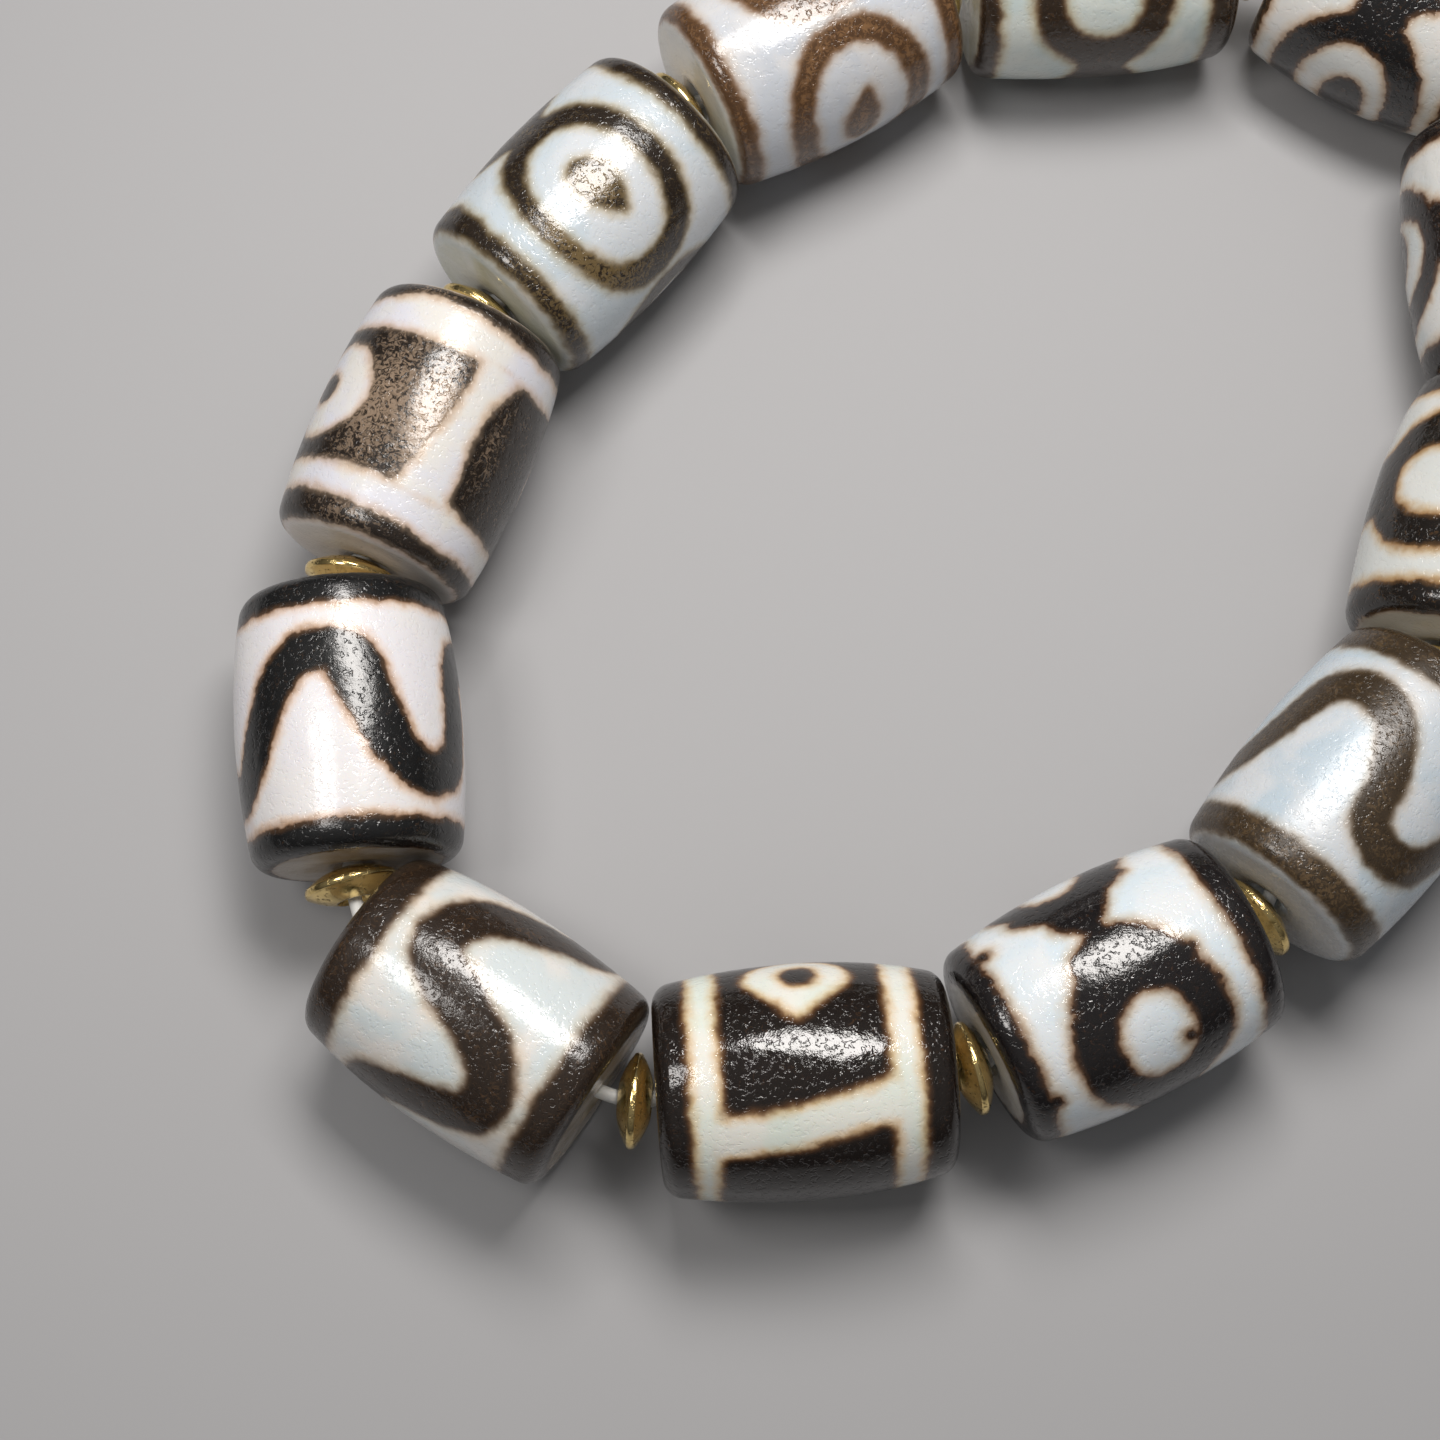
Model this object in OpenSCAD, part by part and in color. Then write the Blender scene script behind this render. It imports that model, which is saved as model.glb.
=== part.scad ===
// Agate bead bracelet: twelve barrel beads with small metal spacers on a loop of elastic.
// Units are millimetres. The bracelet lies flat: Z is up, z = 0 is the surface under it,
// and the origin is the middle of the loop.

/* [Beads] */
// Radius of the rounded rim between a bead's side and its end face
rim_r = 1.2; // [0.8:0.1:1.4]
// Diameter of the bore along a bead
bead_bore_d = 2; // [1.8:0.1:2.4]
// Depth of the 45 degree countersink at each end of the bore
bore_mouth = 0.5; // [0.2:0.1:0.6]

/* [Spacers] */
// Diameter of a spacer
spacer_d = 5.3; // [4.6:0.1:5.5]
// Thickness of a spacer at its middle
spacer_t = 2.1; // [1.6:0.1:2.1]
// Width of the narrow edge round a spacer
spacer_edge_w = 0.3; // [0.2:0.1:0.7]
// Diameter of the bore through a spacer
spacer_bore_d = 2; // [1.7:0.1:2]

/* [Elastic] */
// Diameter of the elastic thread
elastic_d = 0.8; // [0.5:0.1:0.8]
// Share of the thread's inward place that it keeps where it passes a spacer
spacer_share = 0.3; // [0:0.1:0.5]
// Distance inside a bead's end face at which the thread starts to bend
bend_inset = 1.2; // [1:0.1:1.5]
// Pull of the thread's bends: larger values keep it straight for longer
bend_pull = 0.8; // [0.6:0.1:1]
// Number of flat sides round the thread
elastic_sides = 8; // [6:1:10]

/* [Hidden] */

// Facets of a full turn: a bead, a spacer and the circles of a spacer's domes
bead_fn = 72;
spacer_fn = 48;
dome_fn = 180;
// Steps in the outline of half a bead: along its side and round its rim
barrel_steps = 7;
rim_steps = 6;

// The beads in the order of the string, which runs anticlockwise seen from above. The columns:
// where the bead's middle lies, the way that it points, how long it is ground,
// and its diameters at the middle and where the rims of its first and last ends start.
X = 0;
Y = 1;
HEADING = 2;
LENGTH = 3;
MIDDLE_D = 4;
FIRST_D = 5;
LAST_D = 6;
BEADS = [
    [ -8.7, -34.3,   4.0, 16.2, 13.0, 11.4, 10.8],
    [  8.5, -29.2,  26.5, 15.9, 13.0, 11.3, 11.3],
    [ 22.7, -18.1,  49.0, 16.1, 13.0, 11.6, 11.7],
    [ 31.3,  -2.1,  70.5, 16.1, 13.0, 11.9, 10.9],
    [ 34.7,  15.3,  91.5, 15.2, 13.0, 11.8, 11.8],
    [ 28.5,  31.6, 151.0, 14.6, 12.9, 11.0, 11.1],
    [ 10.1,  34.4, 184.0, 16.1, 12.9, 11.0, 11.9],
    [ -7.7,  29.2, 209.5, 16.1, 12.9, 11.0, 11.4],
    [-21.4,  17.7, 229.0, 15.8, 12.9, 11.8, 11.7],
    [-30.9,   2.9, 248.5, 15.8, 13.0, 11.6, 11.7],
    [-34.5, -14.4, 276.0, 15.8, 13.0, 11.4, 11.7],
    [-26.8, -30.8, 326.5, 16.0, 13.1, 11.1, 12.0]
];

// The spacers, each in the gap before the bead of the same number. The columns:
// the share of the string's turn that the spacer has made, how far it sits
// forward of the gap's middle and outward from it, and how far the taut thread
// runs inward of the middle of the beads' bores there.
SHARE = 0;
FORWARD = 1;
OUTWARD = 2;
INWARD = 3;
SPACERS = [
    [0.75,  0.5,  0.3, 0.3],
    [0.50,  0.1,  0.4, 0.2],
    [0.50,  0.0,  0.3, 0.2],
    [0.50,  0.1,  0.3, 0.2],
    [0.55, -0.05, 0.3, 0.2],
    [0.30, -0.9,  0.6, 0.0],
    [0.50,  0.0,  0.3, 0.2],
    [0.50,  0.0,  0.3, 0.2],
    [0.50,  0.05, 0.4, 0.2],
    [0.50, -0.08, 0.5, 0.2],
    [0.50, -0.3,  0.3, 0.1],
    [0.20, -1.05, 0.2, 0.05]
];
count = len(BEADS);

// Unit vector of a heading, and the one to its right, which points out of the loop
function ahead(heading) = [cos(heading), sin(heading), 0];
function outside(heading) = [sin(heading), -cos(heading), 0];

// A bead lies on the surface, so its axis is at half its middle diameter
function bead_middle(bead) = [bead[X], bead[Y], bead[MIDDLE_D] / 2];
function first_end(bead) = bead_middle(bead) - bead[LENGTH] / 2 * ahead(bead[HEADING]);
function last_end(bead) = bead_middle(bead) + bead[LENGTH] / 2 * ahead(bead[HEADING]);

// The beads on both sides of spacer i, the turn between them in degrees, and the spacer's place
function bead_before(i) = BEADS[(i + count - 1) % count];
function bead_after(i) = BEADS[i];
function wrapped(angle) = angle > 180 ? angle - 360 : (angle < -180 ? angle + 360 : angle);
function turn_at(i) = wrapped(bead_after(i)[HEADING] - bead_before(i)[HEADING]);
function spacer_heading(i) = bead_before(i)[HEADING] + SPACERS[i][SHARE] * turn_at(i);
function gap_middle(i) = (last_end(bead_before(i)) + first_end(bead_after(i))) / 2;
function spacer_middle(i) =
    gap_middle(i)
    + SPACERS[i][FORWARD] * ahead(spacer_heading(i))
    + SPACERS[i][OUTWARD] * outside(spacer_heading(i));

// The side of half a bead, from the middle to the end face, as points of radius and height
// above the middle: a flat barrel arc, then the rim's arc, which meets it without a step
function half_side(length, middle_d, end_d) =
    let (
        half = length / 2,
        crown = (middle_d - end_d) / 2,
        barrel_r = (half * half + crown * crown) / (2 * crown),
        barrel_x = middle_d / 2 - barrel_r,
        rim_y = half - rim_r,
        rim_x = barrel_x + sqrt(pow(barrel_r - rim_r, 2) - rim_y * rim_y),
        join = asin(rim_y / (barrel_r - rim_r))
    )
    concat(
        [for (k = [0 : barrel_steps - 1])
            let (angle = join * k / barrel_steps)
            [barrel_x + barrel_r * cos(angle), barrel_r * sin(angle)]],
        [for (k = [0 : rim_steps])
            let (angle = join + (90 - join) * k / rim_steps)
            [rim_x + rim_r * cos(angle), rim_y + rim_r * sin(angle)]]
    );

// The countersunk mouth of the bore at one end, from the face inward
function mouth(length) = [
    [bead_bore_d / 2 + bore_mouth, length / 2],
    [bead_bore_d / 2, length / 2 - bore_mouth]
];

function mirrored(points) = [for (p = points) [p[0], -p[1]]];
function backward(points, skip = 0) = [for (k = [len(points) - 1 : -1 : skip]) points[k]];

// One barrel bead, turned about its axis and laid along its heading
module bead(row) {
    last_side = half_side(row[LENGTH], row[MIDDLE_D], row[LAST_D]);
    first_side = half_side(row[LENGTH], row[MIDDLE_D], row[FIRST_D]);
    outline = concat(
        last_side,
        mouth(row[LENGTH]),
        backward(mirrored(mouth(row[LENGTH]))),
        backward(mirrored(first_side), 1)
    );

    translate(bead_middle(row))
        rotate([0, 90, row[HEADING]])
            rotate_extrude($fn = bead_fn) polygon(outline);
}

// One spacer: a lens of two equal domes that meet at a narrow edge, drilled along its axis
module spacer(i) {
    rise = (spacer_t - spacer_edge_w) / 2;
    dome_r = (pow(spacer_d / 2, 2) + rise * rise) / (2 * rise);
    dome_y = spacer_t / 2 - dome_r;

    translate(spacer_middle(i))
        rotate([0, 90, spacer_heading(i)])
            rotate_extrude($fn = spacer_fn)
                intersection() {
                    translate([0, dome_y]) circle(r = dome_r, $fn = dome_fn);
                    translate([0, -dome_y]) circle(r = dome_r, $fn = dome_fn);
                    translate([spacer_bore_d / 2, -spacer_t])
                        square([(spacer_d - spacer_bore_d) / 2, 2 * spacer_t]);
                }
}

// A smooth bend from one place and heading to another, at the share s of its way,
// and the direction in which it runs there
function bend_point(p, p_dir, q, q_dir, s) =
    let (pull = bend_pull * norm(q - p))
    (2 * pow(s, 3) - 3 * s * s + 1) * p
    + (pow(s, 3) - 2 * s * s + s) * pull * p_dir
    + (3 * s * s - 2 * pow(s, 3)) * q
    + (pow(s, 3) - s * s) * pull * q_dir;
function bend_dir(p, p_dir, q, q_dir, s) =
    let (pull = bend_pull * norm(q - p))
    (6 * s * s - 6 * s) * p
    + (3 * s * s - 4 * s + 1) * pull * p_dir
    + (6 * s - 6 * s * s) * q
    + (3 * s * s - 2 * s) * pull * q_dir;

// The thread's stations through gap i, as pairs of a point and a direction: out of one bead,
// straight through the spacer and into the next bead. The stretch inside a bead is straight.
// The thread is taut, so it runs a little inward of the middle of each bore.
bend_shares = [0, 0.5, 1];
spacer_straight = 0.7;
function stations(i) =
    let (
        before = bead_before(i),
        after = bead_after(i),
        in_dir = ahead(before[HEADING]),
        mid_dir = ahead(spacer_heading(i)),
        out_dir = ahead(after[HEADING]),
        inward = SPACERS[i][INWARD],
        middle = spacer_middle(i) - spacer_share * inward * outside(spacer_heading(i)),
        leave = last_end(before) - bend_inset * in_dir - inward * outside(before[HEADING]),
        near_side = middle - spacer_straight * mid_dir,
        far_side = middle + spacer_straight * mid_dir,
        arrive = first_end(after) + bend_inset * out_dir - inward * outside(after[HEADING])
    )
    concat(
        [for (s = bend_shares) [bend_point(leave, in_dir, near_side, mid_dir, s),
                                bend_dir(leave, in_dir, near_side, mid_dir, s)]],
        [for (s = bend_shares) [bend_point(far_side, mid_dir, arrive, out_dir, s),
                                bend_dir(far_side, mid_dir, arrive, out_dir, s)]]
    );

// A ring of points round a station: sideways in the plane of the loop, and up
function ring(station) =
    let (
        along = station[1] / norm(station[1]),
        sideways = [-along[1], along[0], 0]
    )
    [for (k = [0 : elastic_sides - 1])
        let (angle = 360 * k / elastic_sides)
        station[0] + elastic_d / 2 * (cos(angle) * sideways + sin(angle) * [0, 0, 1])];

// The closed loop of elastic, swept through the stations of all the gaps
module elastic_loop() {
    route = [for (i = [0 : count - 1]) for (station = stations(i)) station];
    rings = len(route);
    points = [for (station = route) for (corner = ring(station)) corner];
    faces = [
        for (r = [0 : rings - 1])
            for (k = [0 : elastic_sides - 1])
                let (
                    next_r = (r + 1) % rings,
                    next_k = (k + 1) % elastic_sides,
                    here = r * elastic_sides,
                    there = next_r * elastic_sides
                )
                [here + k, here + next_k, there + next_k, there + k]
    ];
    polyhedron(points = points, faces = faces, convexity = 4);
}

module bead_node(number) {
    color("ivory") bead(BEADS[number - 1]);
}

module spacer_node(number) {
    color("gold") spacer(number - 1);
}

module elastic() {
    color("white") elastic_loop();
}

bead_node(1);  // bead_1
bead_node(2);  // bead_2
bead_node(3);  // bead_3
bead_node(4);  // bead_4
bead_node(5);  // bead_5
bead_node(6);  // bead_6
bead_node(7);  // bead_7
bead_node(8);  // bead_8
bead_node(9);  // bead_9
bead_node(10);  // bead_10
bead_node(11);  // bead_11
bead_node(12);  // bead_12
spacer_node(1);  // spacer_1
spacer_node(2);  // spacer_2
spacer_node(3);  // spacer_3
spacer_node(4);  // spacer_4
spacer_node(5);  // spacer_5
spacer_node(6);  // spacer_6
spacer_node(7);  // spacer_7
spacer_node(8);  // spacer_8
spacer_node(9);  // spacer_9
spacer_node(10);  // spacer_10
spacer_node(11);  // spacer_11
spacer_node(12);  // spacer_12
elastic();
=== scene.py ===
from math import asin, cos, pi, radians, sin, sqrt

import bmesh
import bpy
import numpy as np
from mathutils import Matrix, Quaternion, Vector, noise


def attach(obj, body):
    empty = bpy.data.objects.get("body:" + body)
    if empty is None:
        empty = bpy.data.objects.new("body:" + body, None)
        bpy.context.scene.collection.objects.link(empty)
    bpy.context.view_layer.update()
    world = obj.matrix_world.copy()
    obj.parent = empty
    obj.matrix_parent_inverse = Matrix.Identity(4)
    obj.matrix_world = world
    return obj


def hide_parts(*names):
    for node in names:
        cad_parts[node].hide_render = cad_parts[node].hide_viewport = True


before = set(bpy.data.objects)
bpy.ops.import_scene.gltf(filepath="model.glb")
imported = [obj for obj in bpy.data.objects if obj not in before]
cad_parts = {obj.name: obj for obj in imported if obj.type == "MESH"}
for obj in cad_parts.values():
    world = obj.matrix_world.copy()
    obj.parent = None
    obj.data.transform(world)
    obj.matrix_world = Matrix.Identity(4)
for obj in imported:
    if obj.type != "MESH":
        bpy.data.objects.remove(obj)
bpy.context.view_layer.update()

bl_info = {
    "name": "Agate bead bracelet",
    "version": (1, 0, 0),
    "blender": (4, 5, 0),
    "location": "3D View > Sidebar > Bracelet",
    "description": "Builds a bracelet of twelve etched agate barrel beads and metal spacers on elastic",
    "category": "Add Mesh",
}

MM = 0.001

# The usual diameter of a bead, and the length of one degree round its side, in millimetres
BEAD_D = 13
DEGREE = pi * BEAD_D / 360

# Depth that stands for far inside or far outside a dark mark, in millimetres
FAR = 3.0

# Farther along than the end of any bead, in millimetres
END = 9.0

# The rounding of the corners where two marks meet, in millimetres
CORNER = 0.35

# The least squared length of a path's step that is divided by, in square millimetres
NO_LENGTH = 1e-12

# Points of an oval, and steps of a curve from one point of a mark to the next
OVAL_POINTS = 57
CURVE_STEPS = 8

# Nearer a bead's axis than this, in millimetres, there is no pattern and no wear
CORE_R = 3.5

# A place this close to the end of a bead is on its flat face, in millimetres
ON_FACE = 0.001

# The turns round the rim, in radians, at which the colour of the end face starts and is full
FACE_STARTS = 1.0
FACE_FULL = 1.5

# Steps of the meshes: round a bead, round a spacer, and in the outline of each
BEAD_STEPS = 216
BARREL_STEPS = 40
RIM_STEPS = 10
FACE_STEPS = 8
SPACER_STEPS = 96
DOME_STEPS = 14
EDGE_STEPS = 6
BEND_STEPS = 8

# Share of a spacer's edge that its rounding takes up
EDGE_ROUNDING = 0.9

# The dips of hand grinding: how far the noise moves on from one bead to the next, in millimetres,
# then the scale and the share of the wide and of the small dips
DIP_SHIFT = 31
WIDE_DIPS = (0.45, 0.7)
SMALL_DIPS = (1.5, 0.3)

# The height of 1 in the relief of the polish, on beads and spacers, in metres
RELIEF = 0.04 * MM

# The thread, in millimetres: how far inside an end face it starts to bend, half the length that
# is straight at a spacer, the share of its inward place that it keeps there, and its pull
BEND_INSET = 1.2
HALF_STRAIGHT = 0.7
SPACER_SHARE = 0.3
BEND_PULL = 0.8

# The lights: place and target in millimetres, size in metres, spin in degrees
MAIN_LIGHT = ((6, 60, 168), (-4, 0, 6), (0.10, 0.055), -31)
SIDE_LIGHT = ((-88, -12, 155), (-10, -5, 6), (0.05, 0.05), 0)
LAMP_COLOUR = (1.0, 0.965, 0.93)

# The camera: what it looks at on the floor and how far off it is, in metres, how high it looks
# down from, in degrees, and its lens, in millimetres
CAMERA_TARGET = (-0.0133, -0.0122)
CAMERA_AWAY = 0.136
CAMERA_RISE = 76.2
CAMERA_LENS = 56.4


# Marks of the etched patterns

# A mark is (dark, kind, values). Places on a bead are (along, round): millimetres from the bead's
# middle towards its last end, and degrees from straight up towards the outside of the loop.

def line(width, *points, dark=True, closed=False):
    return (dark, "line", (width, points, closed))


def patch(*points, dark=True):
    return (dark, "patch", points)


def oval(along, around, half_along, half_around, dark=True, square=2.2):
    """An oval that is squarer for a larger value of square."""
    return (dark, "oval", (along, around, half_along, half_around, square))


def hoop(*rows, dark=True):
    """Rows of (round, lowest along, highest along)."""
    return (dark, "hoop", rows)


def twice(mark, turn=120):
    """A patch or an oval, and the same one that many degrees further round the bead."""
    dark, kind, values = mark
    if kind == "oval":
        along, around, *rest = values
        return [mark, (dark, kind, (along, around + turn, *rest))]
    return [mark, (dark, kind, tuple((along, around + turn) for along, around in values))]


# The beads in the order of the string, with lengths in millimetres. place is x and y of the middle
# and the heading in degrees. size is the length, then the diameter at the middle, at the first end
# and at the last end. ground is the stone that the marks lie on. pale, cloud, dark, brown, stain and
# end are the colours of the pale ground, its clouds, the dark stone, its rim and specks, the stain
# beside it and the end faces. halo and spread are the strength and width of the stain. ragged and
# soft say how frayed and how soft the edges of the dark stone are, mottle how many brown specks it
# has, and swell how much wider it is than drawn. polish is the roughness. reach is how far round the
# rim the pattern goes at the first and at the last end, in radians. The list of worn spots gives each
# as (along, round, half along, half round, strength). On beads 9 and 10 some of these spots are
# painted highlight: the main light's glare, painted onto the dark stone as brown specks.
BEADS = [
    dict(  # heaven and earth: dark ground, pale hoops, a bar and an eye on each half
        place=(-8.7, -34.3, 4.0), size=(16.2, 13.0, 11.4, 10.8), ground="dark",
        pale=(0.80, 0.86, 0.78), cloud=(0.88, 0.87, 0.80), dark=(0.012, 0.008, 0.006),
        brown=(0.17, 0.075, 0.026),
        stain=(0.90, 0.66, 0.42), end=(0.45, 0.36, 0.26), halo=1.0, spread=1.1, ragged=0.06, mottle=0.05,
        soft=0.2, swell=-0.16, polish=0.09, reach=(1.5, 1.45),
        marks=[
            hoop((-180, -6.2, -4.6), (-60, -6.2, -4.6), (20, -6.25, -4.6), (70, -6.2, -5.0),
                 (120, -6.2, -4.8), dark=False),
            hoop((-180, 4.5, 6.1), (0, 4.5, 6.1), (90, 4.6, 6.1), dark=False),
            patch((-5.4, 20.5), (-4, 20), (0, 15), (3.5, 8), (5.2, 5), (5.2, 28), (3.5, 29), (0, 36),
                  (-4, 41), (-5.4, 43), dark=False),
            patch((-5.4, 201), (-4, 200), (0, 196), (3.5, 190), (5.2, 187), (5.2, 210), (3.5, 211),
                  (0, 216), (-4, 221), (-5.4, 223), dark=False),
            patch((-0.3, -27), (-1.6, -37), (-2.8, -47), (-3.1, -56), (-2.4, -69), (-0.2, -82), (2.0, -70),
                  (2.7, -57), (2.4, -47), (1.2, -37), dark=False),
            oval(-0.1, -56.5, 1.0, 9.5),
            patch((-0.2, 152), (-1.8, 140), (-3.0, 126), (-1.9, 110), (-0.2, 100), (1.7, 110), (2.8, 125),
                  (1.6, 140), dark=False),
            oval(-0.1, 125, 1.0, 9.5),
        ],
    ),
    dict(  # three rings joined by short necks
        place=(8.5, -29.2, 26.5), size=(15.9, 13.0, 11.3, 11.3), ground="pale",
        pale=(0.72, 0.81, 0.87), cloud=(0.82, 0.85, 0.87), dark=(0.010, 0.008, 0.008),
        brown=(0.16, 0.07, 0.025),
        stain=(0.84, 0.66, 0.48), end=(0.6, 0.58, 0.54), halo=0.95, spread=1.3, ragged=0.14, mottle=0.08,
        soft=0.09, swell=0.18, polish=0.14, reach=(1.9, 1.45),
        marks=[
            hoop((0, -END, -6.8)),
            hoop((-180, 6.2, END), (-30, 6.2, END), (20, 6.5, END), (50, 6.5, END), (90, 6.2, END)),
            oval(-0.15, 33, 4.3, 36, square=2.6),
            patch((-3.2, 6), (-2.7, -8), (-2.2, -18), (-0.9, -27), (-1.9, -36), (-2.4, -46), (-3.3, -52),
                  (-3.6, -60), (2.4, -60), (2.0, -52), (1.3, -47), (0.6, -38), (0.0, -28), (1.6, -18),
                  (2.6, -8), (3.2, 6)),
            oval(-0.6, -87, 3.9, 36, square=2.5),
            oval(0.1, 153, 4.2, 36, square=2.5),
            patch((-2.2, 62), (-1.6, 84), (-1.0, 93), (-1.8, 104), (-2.6, 120), (2.4, 120), (1.6, 104),
                  (0.6, 93), (1.4, 84), (2.2, 62)),
            patch((-2.4, 184), (-1.5, 205), (-0.9, 213), (-2.0, 224), (-2.6, 240), (2.2, 240), (1.2, 224),
                  (0.7, 213), (1.6, 205), (2.2, 184)),
            oval(-0.05, 33, 2.35, 25, dark=False),
            oval(-0.9, -87, 2.2, 29, dark=False),
            oval(0.1, 153, 2.3, 26, dark=False),
            oval(1.6, 41, 0.16, 1.5),
            oval(-6.5, 44, 0.2, 1.8),
            oval(-6.3, -48, 0.2, 2.2),
        ],
    ),
    dict(  # tiger tooth: one wave round the bead
        place=(22.7, -18.1, 49.0), size=(16.1, 13.0, 11.6, 11.7), ground="pale",
        pale=(0.53, 0.62, 0.69), cloud=(0.66, 0.69, 0.72), dark=(0.040, 0.025, 0.012),
        brown=(0.16, 0.10, 0.045),
        stain=(0.84, 0.70, 0.55), end=(0.66, 0.66, 0.66), halo=0.65, spread=1.0, ragged=0.07, mottle=0.35,
        soft=0.22, swell=0.17, polish=0.27, reach=(0.9, 1.1),
        wear_and_highlight=[(-7, 0, 2.5, 70, 0.6)],
        marks=[
            hoop((0, -END, -6.3)),
            hoop((0, 5.9, END)),
            line(1.9, (-3.4, -82), (-2.0, -68), (0.5, -57), (2.5, -50), (3.3, -35), (3.2, -20), (2.0, -7),
                 (-0.5, 5), (-2.6, 9), (-3.4, 20), (-3.4, 35), (-2.3, 50), (0.6, 62), (2.6, 70), (3.3, 85),
                 (3.2, 100), (2.0, 112), (-0.4, 124), (-2.5, 130), (-3.3, 142), (-3.3, 156), (-2.2, 170),
                 (0.5, 182), (2.5, 190), (3.3, 204), (3.2, 220), (2.0, 233), (-0.5, 245), (-2.4, 250),
                 (-3.5, 262), closed=True),
        ],
    ),
    dict(  # three rings
        place=(31.3, -2.1, 70.5), size=(16.1, 13.0, 11.9, 10.9), ground="pale",
        pale=(0.66, 0.68, 0.66), cloud=(0.74, 0.74, 0.71), dark=(0.012, 0.009, 0.007),
        brown=(0.26, 0.13, 0.045),
        stain=(0.88, 0.64, 0.38), end=(0.6, 0.55, 0.45), halo=0.95, spread=1.2, ragged=0.12, mottle=0.15,
        soft=0.1, swell=0.15, polish=0.14, reach=(1.35, 1.3),
        marks=[
            hoop((0, -END, -6.6)),
            hoop((0, 6.2, END)),
            oval(-0.1, -41, 4.2, 36, square=2.5),
            oval(0.0, 79, 4.2, 36, square=2.5),
            oval(0.1, 199, 4.2, 36, square=2.5),
            patch((-2.6, -68), (-2.0, -82), (-1.9, -101), (-1.9, -120), (-2.6, -132), (2.4, -132),
                  (1.9, -120), (1.8, -101), (2.0, -82), (2.4, -68)),
            *twice(patch((-2.4, 8), (-1.3, 16), (-1.2, 23), (-2.4, 34), (2.4, 34), (1.2, 23), (1.3, 16),
                         (2.4, 8))),
            oval(-0.2, -41, 2.4, 25, dark=False),
            oval(0.0, 79, 2.35, 25, dark=False),
            oval(0.1, 199, 2.35, 25, dark=False),
        ],
    ),
    dict(  # concentric eyes
        place=(34.7, 15.3, 91.5), size=(15.2, 13.0, 11.8, 11.8), ground="pale",
        pale=(0.64, 0.68, 0.68), cloud=(0.72, 0.72, 0.70), dark=(0.014, 0.010, 0.009),
        brown=(0.22, 0.10, 0.04),
        stain=(0.88, 0.70, 0.52), end=(0.55, 0.46, 0.34), halo=0.75, spread=1.0, ragged=0.11, mottle=0.15,
        soft=0.1, swell=0.25, polish=0.14, reach=(1.35, 1.3),
        marks=[
            hoop((0, -END, -6.6)),
            hoop((-180, 6.1, END), (-110, 5.2, END), (-95, 5.6, END), (-80, 6.1, END), (0, 6.1, END)),
            oval(-0.2, -110, 4.4, 48),
            oval(0.2, 10, 4.3, 44),
            oval(0.0, 130, 4.3, 44),
            patch((-1.6, -64), (-1.2, -50), (-1.2, -42), (-1.8, -30), (1.8, -30), (1.3, -42), (1.2, -50),
                  (1.6, -64)),
            patch((-1.6, 52), (-1.2, 66), (-1.2, 74), (-1.8, 90), (1.8, 90), (1.3, 74), (1.2, 66), (1.6, 52)),
            patch((-1.6, 172), (-1.2, 186), (-1.2, 196), (-1.8, 208), (1.8, 208), (1.3, 196), (1.2, 186),
                  (1.6, 172)),
            oval(-0.2, -110, 3.0, 40, dark=False),
            oval(0.2, 10, 2.9, 33, dark=False),
            oval(0.0, 130, 2.9, 33, dark=False),
            oval(0.4, -110, 1.4, 18),
            oval(0.2, 10, 1.2, 16),
            oval(0.0, 130, 1.2, 16),
        ],
    ),
    dict(  # concentric eyes
        place=(28.5, 31.6, 151.0), size=(14.6, 12.9, 11.0, 11.1), ground="pale",
        pale=(0.66, 0.67, 0.65), cloud=(0.72, 0.70, 0.67), dark=(0.009, 0.008, 0.008),
        brown=(0.24, 0.11, 0.04),
        stain=(0.88, 0.70, 0.52), end=(0.5, 0.4, 0.3), halo=0.75, spread=1.0, ragged=0.14, mottle=0.14,
        soft=0.07, swell=0.18, polish=0.14, reach=(1.35, 1.3),
        marks=[
            hoop((0, -END, -5.5)),
            hoop((0, 6.9, END)),
            oval(0.5, -98, 4.6, 52, square=2.4),
            *twice(oval(0.4, 32, 4.5, 42, square=2.4)),
            patch((-2.2, -54), (-1.1, -42), (-1.2, -32), (-2.8, -20), (-2.4, -2), (2.4, -2), (2.2, -20),
                  (1.8, -32), (1.9, -42), (2.6, -54)),
            *twice(patch((-2.2, 68), (-1.1, 80), (-1.2, 90), (-2.4, 100), (-2.4, 118), (2.4, 118),
                         (2.2, 100), (1.8, 90), (1.9, 80), (2.6, 68))),
            oval(0.6, -98, 3.1, 41, dark=False),
            *twice(oval(0.5, 32, 2.9, 31, dark=False)),
            oval(0.3, -102, 1.3, 21),
            *twice(oval(0.3, 32, 1.1, 15)),
        ],
    ),
    dict(  # rings
        place=(10.1, 34.4, 184.0), size=(16.1, 12.9, 11.0, 11.9), ground="pale",
        pale=(0.55, 0.63, 0.62), cloud=(0.68, 0.72, 0.68), dark=(0.030, 0.018, 0.010),
        brown=(0.18, 0.09, 0.035),
        stain=(0.84, 0.68, 0.46), end=(0.5, 0.48, 0.38), halo=0.8, spread=1.15, ragged=0.09, mottle=0.15,
        soft=0.2, swell=0.15, polish=0.15, reach=(1.2, 1.2),
        marks=[
            hoop((0, -END, -6.3)),
            hoop((0, 7.0, END)),
            oval(0.5, -43, 4.1, 42, square=2.3),
            *twice(oval(0.3, 77, 4.1, 41, square=2.3)),
            patch((-2.0, -76), (-1.2, -90), (-1.2, -98), (-2.0, -112), (-2.4, -126), (2.4, -126),
                  (2.2, -112), (1.6, -98), (1.6, -90), (2.4, -76)),
            *twice(patch((-2.0, -10), (-1.2, 4), (-1.2, 22), (-2.0, 46), (2.4, 46), (1.6, 22), (1.6, 4),
                         (2.4, -10))),
            oval(0.5, -43, 2.6, 28, dark=False),
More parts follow.
